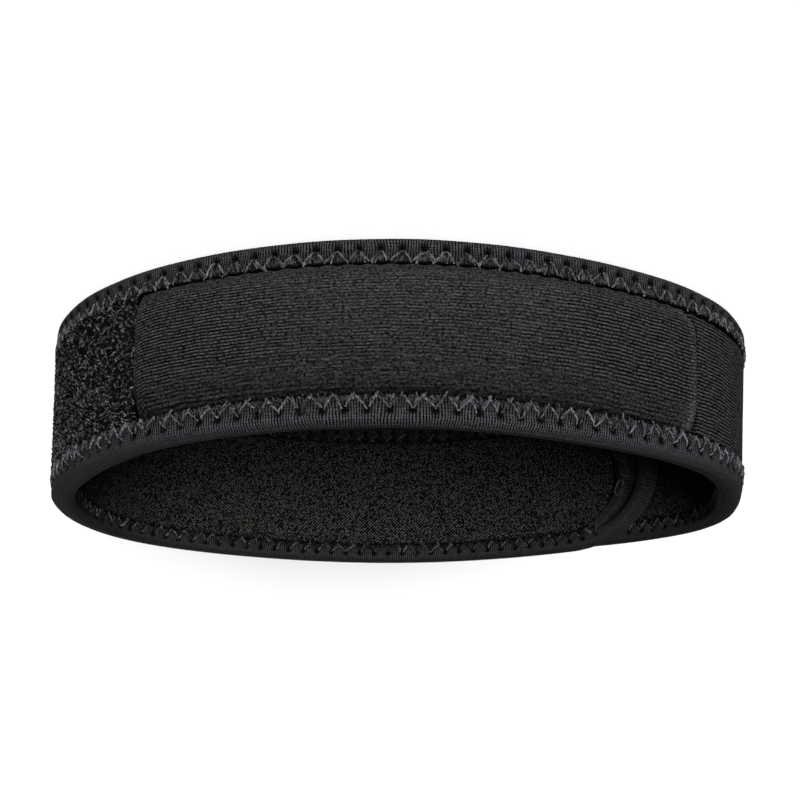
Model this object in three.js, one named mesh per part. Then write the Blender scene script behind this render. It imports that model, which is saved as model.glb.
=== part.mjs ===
// Patella strap: a padded band that is worn round the leg just under the kneecap, fastened as a closed loop.
// Millimetres, +Z up. The strap stands on one rim, the pad faces -Y, the loop-pile side is at +X,
// and the two ends overlap at the back on the -X side. One long bound strap makes the loop: it starts
// at the outer end (outside at the back), runs round -X, the front and +X, and ends inside at the back.
import * as THREE from "three";

// Loop size, outside
const loopWidth = 147.5; // across the front
const loopDepth = 120; // front to back
const strapHeight = 34; // rim to rim

// Laminate, from the leg outwards: lining, core, then pile or knit; the binding wraps both rims
const coreThickness = 2;
const liningThickness = 1;
const pileThickness = 1.5;
const knitThickness = 1;
const hookThickness = 1;
const bindingWall = 1.2;
const seatGap = 0.3; // between pieces that touch

// Binding widths, from the rim
const bindingOuterWidth = 4.9;
const bindingInnerWidth = 3.7;
const endTapeWidth = 10.5; // inside arm at the inner end, where the tape is sewn down twice

// Ends and overlap
const endLength = 25; // each rounded end, along the strap
const innerTipBearing = 152; // degrees round the loop from +X, where the inner end stops
const overlapTurn = 70; // degrees that the outer end lies over the inner one
const releaseTurn = 36; // degrees past the inner tip over which the outer layer comes back in
const tabInset = 2.6; // how much each rim draws in at the outer end
const hookLength = 48; // hook patch, from the outer tip

// Front pad, measured along the strap from the middle of the front
const frontBearing = 270;
const padToPile = 48; // to the edge beside the pile
const padToPlain = 63; // to the soft edge beside the plain knit
const padRise = 3.2; // crown of the cover over the flat knit
const pileEdgeRun = 3; // rounded shoulder beside the pile
const plainEdgeRun = 7; // soft shoulder beside the plain knit
const insertInset = 3.2; // insert edge, in from the ends of the pad
const insertShare = 0.84; // insert height as a share of the cover's height

// Rolled rim of the binding, as shares of half the strap's thickness
const rollPoints = [
  { inward: 0, out: 0.42 },
  { inward: 0.28, out: 0.78 },
  { inward: 0.9, out: 1 },
];

// Plan form: how far the wall reaches as a share of the ellipse, and how far it leans in towards
// the upper rim as a share of the height, at bearings round the loop
const loopForm = [
  { bearing: 0, reach: 0.985, lean: 0.01 },
  { bearing: 30, reach: 1.015, lean: 0 },
  { bearing: 60, reach: 0.97, lean: -0.06 },
  { bearing: 90, reach: 0.95, lean: -0.1 },
  { bearing: 120, reach: 0.925, lean: -0.06 },
  { bearing: 150, reach: 0.94, lean: 0.02 },
  { bearing: 180, reach: 0.97, lean: 0.09 },
  { bearing: 210, reach: 0.98, lean: 0.08 },
  { bearing: 240, reach: 0.98, lean: 0.05 },
  { bearing: 270, reach: 1.03, lean: -0.01 },
  { bearing: 300, reach: 1.02, lean: 0.01 },
  { bearing: 330, reach: 0.985, lean: 0.09 },
];

// Mesh steps
const pathStep = 4; // degrees between the points that carry the path
const strapStep = 6; // millimetres along the strap
const endSteps = 8; // per rounded end
const lengthDivisions = 2000;

const halfCore = coreThickness / 2;
const bedDepth = halfCore + seatGap; // where lining, pile, knit and binding arms begin
const halfStrap = bedDepth + bindingWall;
const midHeight = strapHeight / 2;
const semiWidth = loopWidth / 2 - halfStrap;
const semiDepth = loopDepth / 2 - halfStrap;
const layerStep = halfStrap + Math.max(halfStrap, bedDepth + pileThickness) + seatGap;
const startBearing = innerTipBearing - overlapTurn;
const endBearing = innerTipBearing + 360;

// Eases from 0 to 1 between two limits, level at both.
function ease(low, high, value) {
  return THREE.MathUtils.smoothstep(value, low, high);
}

// A column of the plan form at a bearing, on a smooth curve through the rows.
function formAt(column, bearing) {
  const count = loopForm.length;
  const spacing = 360 / count;
  const place = THREE.MathUtils.euclideanModulo(bearing, 360) / spacing;
  const row = Math.floor(place);
  const t = place - row;
  const [a, b, c, d] = [-1, 0, 1, 2].map((k) => loopForm[(row + k + count) % count][column]);
  return b + 0.5 * t * (c - a + t * (2 * a - 5 * b + 4 * c - d + t * (3 * (b - c) + d - a)));
}

// Middle of the strap's thickness, seen from above, from the outer end round to the inner one.
function strapPath() {
  const steps = Math.round((endBearing - startBearing) / pathStep);
  const points = [];
  for (let i = 0; i <= steps; i += 1) {
    const bearing = THREE.MathUtils.lerp(startBearing, endBearing, i / steps);
    const angle = THREE.MathUtils.degToRad(bearing);
    const reach = formAt("reach", bearing);
    const outward = new THREE.Vector3(
      semiDepth * Math.cos(angle),
      semiWidth * Math.sin(angle),
      0,
    ).normalize();
    const release = ease(innerTipBearing + 2, innerTipBearing + 2 + releaseTurn, bearing);
    const point = new THREE.Vector3(
      semiWidth * reach * Math.cos(angle),
      semiDepth * reach * Math.sin(angle),
      0,
    );
    points.push(point.addScaledVector(outward, layerStep * (1 - release)));
  }
  const curve = new THREE.CatmullRomCurve3(points);
  curve.arcLengthDivisions = lengthDivisions;
  return curve;
}

const path = strapPath();
const pathLengths = path.getLengths(lengthDivisions);
const strapLength = path.getLength();

// Distance along the strap at a bearing.
function lengthAt(bearing) {
  const share = (bearing - startBearing) / (endBearing - startBearing);
  return pathLengths[Math.round(share * lengthDivisions)];
}

// A point of the wall: along the strap, up from the lower rim, and outwards from mid-thickness.
function wall(along, height, depth) {
  const share = THREE.MathUtils.clamp(along / strapLength, 0, 1);
  const point = path.getPointAt(share);
  const tangent = path.getTangentAt(share);
  const bearing = THREE.MathUtils.radToDeg(Math.atan2(point.y / semiDepth, point.x / semiWidth));
  const outward = depth + formAt("lean", bearing) * (midHeight - height);
  return new THREE.Vector3(point.x + tangent.y * outward, point.y - tangent.x * outward, height);
}

// Half the strap's height, which draws in towards the outer end.
function halfHeightAt(along) {
  const full = lengthAt(innerTipBearing + releaseTurn);
  return midHeight - tabInset * (1 - ease(endLength, full, along));
}

// Stations along the strap: rounded outer end, straight run, rounded inner end.
// centre is where the station's end arc is centred, reach its share along the arc, share its share of the height.
function strapStations(extra = []) {
  const stations = [];
  for (let i = 0; i < endSteps; i += 1) {
    const angle = (Math.PI / 2) * (i / endSteps);
    stations.push({ centre: endLength, reach: -Math.cos(angle), share: Math.sin(angle) });
  }
  const run = strapLength - 2 * endLength;
  const steps = Math.ceil(run / strapStep);
  const straight = [];
  for (let i = 0; i <= steps; i += 1) {
    const along = endLength + (run * i) / steps;
    if (extra.every((e) => Math.abs(e - along) > strapStep / 3)) straight.push(along);
  }
  straight.push(...extra);
  straight.sort((a, b) => a - b);
  stations.push(...straight.map((along) => ({ centre: along, reach: 0, share: 1 })));
  for (let i = endSteps - 1; i >= 0; i -= 1) {
    const angle = (Math.PI / 2) * (i / endSteps);
    stations.push({ centre: strapLength - endLength, reach: Math.cos(angle), share: Math.sin(angle) });
  }
  return stations;
}

// Where an outline drawn in from the rims lies at a station.
function outlineAt(station, inset) {
  const endInset = station.reach < 0 ? inset.outerEnd : inset.innerEnd;
  return {
    along: station.centre + station.reach * (endLength - endInset),
    half: station.share * (halfHeightAt(station.centre) - inset.rim),
  };
}

// The same inset on the rims and on both ends.
function evenInset(value) {
  return { rim: value, outerEnd: value, innerEnd: value };
}

// Closed solid through rings of points. A ring's first half is matched to its second half in the end caps.
function loftSolid(rings, isLoop = false) {
  const count = rings[0].length;
  const positions = rings.flat().flatMap((p) => [p.x, p.y, p.z]);
  const indices = [];
  const quad = (a, b, c, d) => indices.push(a, c, b, a, d, c);
  const last = isLoop ? rings.length : rings.length - 1;
  for (let i = 0; i < last; i += 1) {
    const here = i * count;
    const next = ((i + 1) % rings.length) * count;
    for (let k = 0; k < count; k += 1) {
      const after = (k + 1) % count;
      quad(here + k, here + after, next + after, next + k);
    }
  }
  if (!isLoop) {
    const end = (rings.length - 1) * count;
    for (let k = 0; k < count / 2 - 1; k += 1) {
      const mate = count - 1 - k;
      quad(k, mate, mate - 1, k + 1);
      quad(end + k, end + k + 1, end + mate - 1, end + mate);
    }
  }
  const geometry = new THREE.BufferGeometry();
  geometry.setAttribute("position", new THREE.Float32BufferAttribute(positions, 3));
  geometry.setIndex(indices);
  const flat = geometry.toNonIndexed();
  flat.computeVertexNormals();
  return flat;
}

// Layer of the strap between two surfaces. heights are shares of the half height from rim to rim,
// and depthOf gives the inner and outer depth at a distance along and a height share.
function layerSolid(stations, inset, heights, depthOf) {
  const rings = stations
    .filter((station) => station.share > 0)
    .map((station) => {
      const { along, half } = outlineAt(station, inset);
      const points = heights.map((share) => ({ share, height: midHeight + share * half }));
      const inner = points.map((p) => wall(along, p.height, depthOf(along, p.share).inner));
      const outer = points.map((p) => wall(along, p.height, depthOf(along, p.share).outer));
      return [...outer, ...inner.reverse()];
    });
  return loftSolid(rings);
}

const rimToRim = [-1, 1];
const crownHeights = [-1, -0.93, -0.8, -0.55, -0.2, 0.2, 0.55, 0.8, 0.93, 1];

const padStart = lengthAt(frontBearing) - padToPlain;
const padEnd = lengthAt(frontBearing) + padToPile;

// How far the cover stands over the flat knit, crowned between the bindings.
function coverRise(along, share) {
  if (along <= padStart || along >= padEnd) return 0;
  const soft = ease(0, plainEdgeRun, along - padStart);
  const left = 1 - Math.min((padEnd - along) / pileEdgeRun, 1);
  const round = Math.sqrt(1 - left * left);
  return padRise * soft * round * (1 - Math.abs(share) ** 4);
}

// Stations of one stretch, ending squarely where a limit is given.
function stretch(from, to, extra = []) {
  const limits = [from, to, ...extra].filter((value) => value !== null);
  return strapStations(limits).filter((station) => {
    const along = station.centre + station.reach * endLength;
    return (from === null || along >= from - 1e-6) && (to === null || along <= to + 1e-6);
  });
}

function coreSolid() {
  const depths = { inner: -halfCore, outer: halfCore };
  return layerSolid(strapStations(), evenInset(bindingWall + seatGap), rimToRim, () => depths);
}

// Panels between the outer arms of the binding
const outerPanelInset = evenInset(bindingOuterWidth + seatGap);

function pileSolid() {
  const depths = { inner: bedDepth, outer: bedDepth + pileThickness };
  return layerSolid(stretch(padEnd + seatGap, null), outerPanelInset, rimToRim, () => depths);
}

function knitSolid() {
  const shoulder = [0.15, 0.5].map((share) => padEnd - share * pileEdgeRun);
  const soft = [0, 0.35, 0.65, 1].map((share) => padStart + share * plainEdgeRun);
  const stations = stretch(null, padEnd, [...shoulder, ...soft, padEnd - pileEdgeRun]);
  return layerSolid(stations, outerPanelInset, crownHeights, (along, share) => {
    const inner = bedDepth + coverRise(along, share);
    return { inner, outer: inner + knitThickness };
  });
}

// Insert under the cover, which gives the pad its crown
function insertSolid() {
  const from = padStart + plainEdgeRun;
  const to = padEnd - insertInset;
  const coverHalf = midHeight - outerPanelInset.rim;
  const inset = { ...outerPanelInset, rim: midHeight - insertShare * coverHalf };
  return layerSolid(stretch(from, to), inset, crownHeights, (along, share) => ({
    inner: bedDepth,
    outer: bedDepth + coverRise(along, share * insertShare) - seatGap,
  }));
}

// Panels between the inner arms of the binding
const innerPanelInset = {
  rim: bindingInnerWidth + seatGap,
  outerEnd: bindingInnerWidth + seatGap,
  innerEnd: endTapeWidth + seatGap,
};

function liningSolid() {
  const depths = { inner: -bedDepth - liningThickness, outer: -bedDepth };
  return layerSolid(stretch(hookLength + seatGap, null), innerPanelInset, rimToRim, () => depths);
}

function hookSolid() {
  const depths = { inner: -bedDepth - hookThickness, outer: -bedDepth };
  return layerSolid(stretch(null, hookLength), innerPanelInset, rimToRim, () => depths);
}

// Section of the binding: rolled rim, outer arm, slot that holds the core, inner arm, rolled rim.
function bindingSection() {
  const roll = rollPoints.map((p) => ({ inward: p.inward * halfStrap, out: p.out * halfStrap }));
  const flipped = roll.map((p) => ({ inward: p.inward, out: -p.out }));
  return [
    ...roll,
    { arm: "outer", out: halfStrap },
    { arm: "outer", out: bedDepth },
    { inward: bindingWall, out: bedDepth },
    { inward: bindingWall, out: -bedDepth },
    { arm: "inner", out: -bedDepth },
    { arm: "inner", out: -halfStrap },
    ...flipped.reverse(),
  ];
}

// Ring of the binding round the rim at a station, on the lower (-1) or the upper (1) rim.
function bindingRing(station, side) {
  const arms = {
    outer: evenInset(bindingOuterWidth),
    inner: { rim: bindingInnerWidth, outerEnd: bindingInnerWidth, innerEnd: endTapeWidth },
  };
  return bindingSection().map((p) => {
    const { along, half } = outlineAt(station, p.arm ? arms[p.arm] : evenInset(p.inward));
    return wall(along, midHeight + side * half, p.out);
  });
}

// One tape all the way round the strap: lower rim, inner end, upper rim, outer end.
function bindingSolid() {
  const stations = strapStations();
  const lower = stations.map((station) => bindingRing(station, -1));
  const upper = stations.slice(1, -1).reverse().map((station) => bindingRing(station, 1));
  return loftSolid([...lower, ...upper], true);
}

function fabric(color, roughness) {
  return new THREE.MeshStandardMaterial({ color, roughness, metalness: 0 });
}

const neoprene = fabric("#141415", 0.85);
const bindingTape = fabric("#232325", 0.7);
const loopPile = fabric("#19191a", 0.95);
const jerseyKnit = fabric("#1f1f21", 0.75);
const meshLining = fabric("#161817", 0.85);
const hookTape = fabric("#0f0f10", 0.6);
const foam = fabric("#2a2a2c", 0.9);

function piece(name, geometry, material) {
  const mesh = new THREE.Mesh(geometry, material);
  mesh.name = name;
  return mesh;
}

const strap = new THREE.Group();
strap.add(piece("strap_core", coreSolid(), neoprene));
strap.add(piece("edge_binding", bindingSolid(), bindingTape));
strap.add(piece("pile_panel", pileSolid(), loopPile));
strap.add(piece("knit_cover", knitSolid(), jerseyKnit));
strap.add(piece("pad_insert", insertSolid(), foam));
strap.add(piece("mesh_lining", liningSolid(), meshLining));
strap.add(piece("hook_patch", hookSolid(), hookTape));

// The origin is under the middle of the outside size.
const middle = new THREE.Box3().setFromObject(strap).getCenter(new THREE.Vector3());
strap.position.set(-middle.x, -middle.y, 0);

export default strap;
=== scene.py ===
"""Patella strap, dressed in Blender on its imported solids.

The strap is one bound band that closes into a loop. Every surface is worked out in millimetres from
three distances: along the strap from its outer end, up from the lower rim, and outwards from the
middle of the strap's thickness.
"""

import logging
from collections.abc import Callable
from dataclasses import dataclass, field
from enum import Enum

import bpy
import numpy as np
from mathutils import Matrix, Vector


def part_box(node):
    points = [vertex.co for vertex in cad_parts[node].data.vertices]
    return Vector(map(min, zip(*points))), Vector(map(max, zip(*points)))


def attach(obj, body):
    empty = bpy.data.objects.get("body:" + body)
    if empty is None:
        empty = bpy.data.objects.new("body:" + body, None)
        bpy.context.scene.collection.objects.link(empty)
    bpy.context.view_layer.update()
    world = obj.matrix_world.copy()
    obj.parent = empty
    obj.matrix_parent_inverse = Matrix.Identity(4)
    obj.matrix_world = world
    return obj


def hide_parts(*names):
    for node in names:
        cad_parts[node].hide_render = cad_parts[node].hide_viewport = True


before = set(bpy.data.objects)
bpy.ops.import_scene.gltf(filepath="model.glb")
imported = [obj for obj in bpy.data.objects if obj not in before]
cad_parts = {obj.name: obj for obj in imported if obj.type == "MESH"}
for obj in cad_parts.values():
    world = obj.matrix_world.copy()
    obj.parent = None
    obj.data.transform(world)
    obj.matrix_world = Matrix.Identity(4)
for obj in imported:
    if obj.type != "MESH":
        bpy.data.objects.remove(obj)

Array = np.ndarray
# Depth or shade from distance along, height and share of the height.
Surface = Callable[[Array, Array, Array], Array]
Piece = bpy.types.Object
Socket = bpy.types.NodeSocket
Colour = tuple[float, float, float, float]
Shade = Colour | Socket
# One millimetre in metres.
MM = 0.001
# Faces that meet at more degrees than this keep a sharp edge.
SHARP_ANGLE = 50.0
# Size of one facet of a thread on the Cloth map, in millimetres.
THREAD_FACET = 0.3
log = logging.getLogger("patella_strap")


def ease(low: float, high: float, value: Array) -> Array:
    """Smooth step from 0 at low to 1 at high, level at both ends."""
    t = np.clip((value - low) / (high - low), 0.0, 1.0)
    return t * t * (3.0 - 2.0 * t)


def bell(distance: Array, width: float) -> Array:
    """Bell curve of height 1 at distance 0, falling to 1/e at the width."""
    return np.exp(-((distance / width) ** 2))


class Face(Enum):
    """The two faces of the strap, as the sign of the distance from its mid-thickness."""

    OUTER = 1.0
    INNER = -1.0


@dataclass(frozen=True)
class Laminate:
    """Thicknesses of the strap's layers and widths of its binding, in millimetres."""

    core: float = 2.0
    lining: float = 1.0
    pile: float = 1.5
    knit: float = 1.0
    hook: float = 1.0
    tape: float = 1.2
    gap: float = 0.3
    outer_arm: float = 4.9
    inner_arm: float = 3.7
    end_arm: float = 10.5

    @property
    def bed(self) -> float:
        """Depth at which the fabrics begin, over the core."""
        return self.core / 2 + self.gap

    @property
    def half(self) -> float:
        """Half of the thickness of the bound edge."""
        return self.bed + self.tape

    @property
    def outer_inset(self) -> float:
        """How far in from the rim the outer fabrics begin, beside the tape."""
        return self.outer_arm + self.gap


@dataclass
class StrapLoop:
    """The closed loop seen from above, and any point of its wall.

    The middle of the strap follows an ellipse whose reach and lean are read off a short table by a
    smooth curve, with a row for every 30 degrees from bearing 0. Where the outer end overlaps the
    inner one, the path runs one strap further out.
    """

    width: float = 147.5
    depth: float = 120.0
    end_length: float = 25.0
    inner_tip_bearing: float = 152.0
    overlap_turn: float = 70.0
    past_tip: float = 2.0
    release_turn: float = 36.0
    tab_inset: float = 2.6
    widest_inset: float = 2.2
    front_bearing: float = 270.0
    laminate: Laminate = field(default_factory=Laminate)
    reach: tuple[float, ...] = (
        0.985, 1.015, 0.97, 0.95, 0.925, 0.94,
        0.97, 0.98, 0.98, 1.03, 1.02, 0.985,
    )
    lean: tuple[float, ...] = (0.01, 0, -0.06, -0.1, -0.06, 0.02, 0.09, 0.08, 0.05, -0.01, 0.01, 0.09)

    def __post_init__(self) -> None:
        """Samples the path finely and takes the height and the place from the frame."""
        low, high = (np.array(corner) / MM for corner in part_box("edge_binding"))
        self.height = high[2] - low[2]
        self.middle = self.height / 2
        start = self.inner_tip_bearing - self.overlap_turn
        self.bearings = np.linspace(start, self.inner_tip_bearing + 360, 6000)
        self.points = self._path(self.bearings)
        steps = np.linalg.norm(np.diff(self.points, axis=0), axis=1)
        self.lengths = np.concatenate([[0.0], np.cumsum(steps)])
        self.length = float(self.lengths[-1])
        heading = np.gradient(self.points, self.lengths, axis=0)
        self.heading = heading / np.linalg.norm(heading, axis=1, keepdims=True)
        self.shift = np.zeros(2)
        along = np.linspace(0, self.length, 2400)[:, None]
        rims = np.array([self.widest_inset, self.height - self.widest_inset])
        rim = self.wall(along, rims, self.laminate.half) / MM
        own = (rim.reshape(-1, 3).min(0) + rim.reshape(-1, 3).max(0)) / 2
        self.shift = ((low + high) / 2 - own)[:2]

    def _table(self, column: tuple[float, ...], bearing: Array) -> Array:
        """Reads a table column at a bearing, on the smooth cubic through its rows.

        The cubic between two rows takes its slope at each of them from the rows on both sides.

        Args:
            column: Values at bearings that are evenly spread over the turn, the first at 0.
            bearing: Bearings in degrees.

        Returns:
            The values there.
        """
        values = np.array(column)
        place = np.mod(bearing, 360) / (360 / len(values))
        row = np.floor(place).astype(int)
        t = place - row
        a, b, c, d = (values[(row + k) % len(values)] for k in (-1, 0, 1, 2))
        return b + 0.5 * t * (c - a + t * (2 * a - 5 * b + 4 * c - d + t * (3 * (b - c) + d - a)))

    def _path(self, bearing: Array) -> Array:
        """Middle of the strap's thickness at each bearing, seen from above.

        The ellipse is scaled by the reach, and set outwards by one strap until it is released.

        Args:
            bearing: Bearings in degrees.

        Returns:
            Points in millimetres, shape (n, 2).
        """
        lam = self.laminate
        semi = np.array([self.width / 2 - lam.half, self.depth / 2 - lam.half])
        step = lam.half + max(lam.half, lam.bed + lam.pile) + lam.gap
        angle = np.radians(bearing)
        round_ = np.stack([np.cos(angle), np.sin(angle)], axis=-1)
        outward = round_ * semi[::-1]
        outward /= np.linalg.norm(outward, axis=-1, keepdims=True)
        tip = self.inner_tip_bearing + self.past_tip
        released = ease(tip, tip + self.release_turn, bearing)
        ellipse = round_ * semi * self._table(self.reach, bearing)[:, None]
        return ellipse + outward * (step * (1 - released))[:, None]

    def along(self, bearing: float) -> float:
        """Distance along the strap at a bearing."""
        return float(np.interp(bearing, self.bearings, self.lengths))

    def half_height(self, along: Array) -> Array:
        """Half of the strap's height, which draws in towards the outer end."""
        full = self.along(self.inner_tip_bearing + self.release_turn)
        return self.middle - self.tab_inset * (1 - ease(self.end_length, full, along))

    def wall(self, along: Array, height: Array, depth: Array) -> Array:
        """Points of the wall in metres.

        A point is the path's point, plus the outward direction times the depth and the lean, which
        grows from mid-height.

        Args:
            along: Distance along the strap.
            height: Height over the lower rim.
            depth: Distance outwards from mid-thickness.

        Returns:
            An array of points with the arguments' common shape and a last axis of 3.
        """
        along, height, depth = np.broadcast_arrays(along, height, depth)
        columns = (*self.points.T, *self.heading.T)
        x, y, hx, hy = (np.interp(along, self.lengths, column) for column in columns)
        lean = np.interp(along, self.lengths, self._table(self.lean, self.bearings))
        out = depth + lean * (self.middle - height)
        x, y = x + hy * out + self.shift[0], y - hx * out + self.shift[1]
        return np.stack([x, y, height], axis=-1) * MM


@dataclass
class Rim:
    """The strap's whole outline: lower rim, inner end, upper rim and outer end, as one closed run.

    Each place on it has the centre of its end arc, how far it reaches along that arc, and its side,
    from -1 on the lower rim to 1 on the upper one.
    """

    loop: StrapLoop
    sample: float = 0.25
    midway: float = 2.4

    def __post_init__(self) -> None:
        """Samples the outline by its length, measured midway across the binding."""
        loop = self.loop
        straight = np.arange(loop.end_length, loop.length - loop.end_length, self.sample)
        arc = np.radians(np.arange(-90, 90, 0.5))
        far, near = np.full(arc.shape, straight[-1]), np.full(arc.shape, straight[0])
        flat = np.zeros(straight.shape)
        self.centre = np.concatenate([straight, far, straight[::-1], near])
        self.reach = np.concatenate([flat, np.cos(arc), flat, -np.cos(arc)])
        self.side = np.concatenate([flat - 1, np.sin(arc), flat + 1, -np.sin(arc)])
        along, height = self.place(self.centre, self.reach, self.side, self.midway, self.midway)
        line = loop.wall(along, height, 0.0) / MM
        steps = np.linalg.norm(np.diff(line, axis=0, append=line[:1]), axis=1)
        self.lengths = np.concatenate([[0.0], np.cumsum(steps)])
        self.length = float(self.lengths[-1])

    def place(
        self, centre: Array, reach: Array, side: Array, from_rim: Array, from_end: Array
    ) -> tuple[Array, Array]:
        """Distance along the strap and height of a point that lies in from the rim or the end.

        Args:
            centre: Centre of the end arc, or the place itself on the straight run.
            reach: Reach along the end arc, from -1 at the outer end to 1 at the inner end.
            side: Side, from -1 on the lower rim to 1 on the upper one.
            from_rim: Distance in from the rim.
            from_end: Distance in from the end.

        Returns:
            The distance along the strap and the height over the lower rim.
        """
        along = centre + reach * (self.loop.end_length - from_end)
        return along, self.loop.middle + side * (self.loop.half_height(centre) - from_rim)

    def at(self, run: Array) -> tuple[Array, ...]:
        """Centre, reach and side at a distance round the outline.

        Args:
            run: Distance round the outline, which may pass its start.

        Returns:
            The centre of the end arc, the reach along it and the side.
        """
        run = np.mod(run, self.length)
        columns = (self.centre, self.reach, self.side)
        return tuple(np.interp(run, self.lengths, np.append(v, v[0])) for v in columns)


def in_scene(name: str, data: bpy.types.ID) -> Piece:
    """Adds an object with these data to the scene, at the origin.

    Args:
        name: Name of the object.
        data: Its mesh, lamp or camera.

    Returns:
        The new object.
    """
    made = bpy.data.objects.new(name, data)
    bpy.context.scene.collection.objects.link(made)
    return made


def mesh_object(
    name: str, points: Array, faces: list[Array], uv: list[Array], painted_shade_and_tone: Array | None = None
) -> Piece:
    """Makes a mesh object at the origin from arrays.

    Args:
        name: Name of the piece.
        points: Vertices in metres, shape (n, 3).
        faces: Arrays of vertex numbers, one array for each number of corners.
        uv: For each of those arrays, the place of every corner on the cloth, in millimetres.
        painted_shade_and_tone: Painted darkness of each vertex, from 0 to 1: shade in seams, holes and
            grooves, and random tone.

    Returns:
        The new object, smooth shaded with its sharp edges kept.
    """
    mesh = bpy.data.meshes.new(name)
    mesh.vertices.add(len(points))
    mesh.vertices.foreach_set("co", points.astype(np.float32).ravel())
    corners = np.concatenate([f.ravel() for f in faces])
    sizes = np.concatenate([np.full(len(f), f.shape[1]) for f in faces])
    mesh.loops.add(len(corners))
    mesh.loops.foreach_set("vertex_index", corners.astype(np.int32))
    mesh.polygons.add(len(sizes))
    mesh.polygons.foreach_set("loop_start", (np.cumsum(sizes) - sizes).astype(np.int32))
    places = np.concatenate([u.reshape(-1, 2) for u in uv])
    mesh.uv_layers.new(name="Cloth").data.foreach_set("uv", places.astype(np.float32).ravel())
    # Painted shade and tone: each vertex's darkness, which the materials mix into the colour.
    depth = mesh.attributes.new("painted_shade_and_tone", "FLOAT", "POINT")
    values = np.zeros(len(points)) if painted_shade_and_tone is None else np.clip(painted_shade_and_tone, 0, 1).ravel()
    depth.data.foreach_set("value", values.astype(np.float32))
    mesh.update(calc_edges=True)
    mesh.shade_smooth()
    mesh.set_sharp_from_angle(angle=np.radians(SHARP_ANGLE))
    return in_scene(name, mesh)


def lofted(
    name: str, rings: Array, uv: Array, painted_shade_and_tone: Array | None = None, closed: bool = False
) -> Piece:
    """Makes a closed body through rings of points.

    Args:
        name: Name of the piece.
        rings: Points in metres, shape (rings, points of a ring, 3).
        uv: Places on the cloth, shape (rings + 1, points + 1, 2), the last ones for the wrap.
        painted_shade_and_tone: Painted shade in seams and grooves, and tone, for each point, from 0 to 1.
        closed: True where the last ring joins the first; otherwise both ends get a cap.

    Returns:
        The new object.
    """
    n, m = rings.shape[:2]
    i, k = np.meshgrid(np.arange(n if closed else n - 1), np.arange(m), indexing="ij")
    order = ((0, 0), (1, 0), (1, 1), (0, 1))
    corners = [((i + a) % n) * m + (k + b) % m for a, b in order]
    faces = [np.stack(corners, axis=-1).reshape(-1, 4)]
    places = [np.stack([uv[i + a, k + b] for a, b in order], axis=-2).reshape(-1, 4, 2)]
    if not closed:
        ring = np.arange(m)
        faces.append(np.stack([ring, (n - 1) * m + ring[::-1]]))
        places.append(np.stack([uv[0, :m], uv[n - 1, :m][::-1]]))
    return mesh_object(name, rings.reshape(-1, 3), faces, places, painted_shade_and_tone)


def strands(name: str, lines: Array, radius: Array, thread_painted_shade_and_tone: Array, sides: int = 4) -> Piece:
    """Makes many short round threads in one mesh.

    Each thread is a tube round its line: at every point, the sides stand in a circle square to the
    line, and both ends are closed by a face.

    Args:
        name: Name of the piece.
        lines: Points in metres, shape (threads, points of a thread, 3).
        radius: Radius in metres for each thread.
        thread_painted_shade_and_tone: Painted shade and tone of each thread, from 0 to 1.
        sides: Number of sides of a thread.

    Returns:
        The new object.
    """
    count, steps = lines.shape[:2]
    heading = np.gradient(lines, axis=1)
    heading /= np.linalg.norm(heading, axis=-1, keepdims=True) + 1e-12
    spare = np.where(np.abs(heading[..., 2:]) < 0.9, [0.0, 0.0, 1.0], [1.0, 0.0, 0.0])
    across = np.cross(heading, spare)
    across /= np.linalg.norm(across, axis=-1, keepdims=True)
    other = np.cross(heading, across)
    turn = 2 * np.pi * np.arange(sides) / sides
    circle = across[:, :, None] * np.cos(turn)[:, None] + other[:, :, None] * np.sin(turn)[:, None]
    points = lines[:, :, None] + circle * radius[:, None, None, None]
    t, i, k = np.meshgrid(np.arange(count), np.arange(steps - 1), np.arange(sides), indexing="ij")
    order = ((0, 0), (0, 1), (1, 1), (1, 0))
    corners = [(t * steps + i + a) * sides + (k + b) % sides for a, b in order]
    tube = np.stack(corners, axis=-1).reshape(-1, 4)
    place = np.stack([np.stack([i + a, k + b], axis=-1) for a, b in order], axis=-2) * THREAD_FACET
    first = np.arange(count)[:, None] * steps * sides
    ring = np.arange(sides)
    caps = np.concatenate([first + ring[::-1], first + (steps - 1) * sides + ring])
    faces = [tube, caps]
    uv = [place.reshape(-1, 4, 2), np.zeros((*caps.shape, 2))]
    return mesh_object(name, points.reshape(-1, 3), faces, uv, np.repeat(thread_painted_shade_and_tone, steps * sides))


def dress(piece: Piece, material: bpy.types.Material, slot: str, *nodes: str) -> None:
    """Gives a piece its material and its body, and hides the CAD nodes that it stands for.

    Args:
        piece: The piece.
        material: Its material.
        slot: Not used.
        nodes: The CAD nodes that it replaces, or none.
    """
    piece.data.materials.append(material)
    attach(piece, "root")
    if nodes:
        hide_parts(*nodes)
    log.info("%s: %d faces", piece.name, len(piece.data.polygons))


def add_node(
    tree: bpy.types.NodeTree, kind: str, inputs: dict | None = None, **settings: str
) -> bpy.types.Node:
    """Adds a node, sets its properties, and sets or links its inputs.

    Args:
        tree: The material's node tree.
        kind: The node's type.
        inputs: Value or socket for each input, by name or number.
        settings: The node's own properties.

    Returns:
        The new node.
    """
    node = tree.nodes.new(kind)
    for name, value in settings.items():
        setattr(node, name, value)
    for name, value in (inputs or {}).items():
        if isinstance(value, Socket):
            tree.links.new(value, node.inputs[name])
        else:
            node.inputs[name].default_value = value
    return node


def linear(colour: str) -> Colour:
    """Turns an sRGB hex colour into Blender's linear values."""
    channels = [int(colour[i : i + 2], 16) / 255 for i in (1, 3, 5)]
    return (*(c / 12.92 if c <= 0.04045 else ((c + 0.055) / 1.055) ** 2.4 for c in channels), 1.0)


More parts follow.
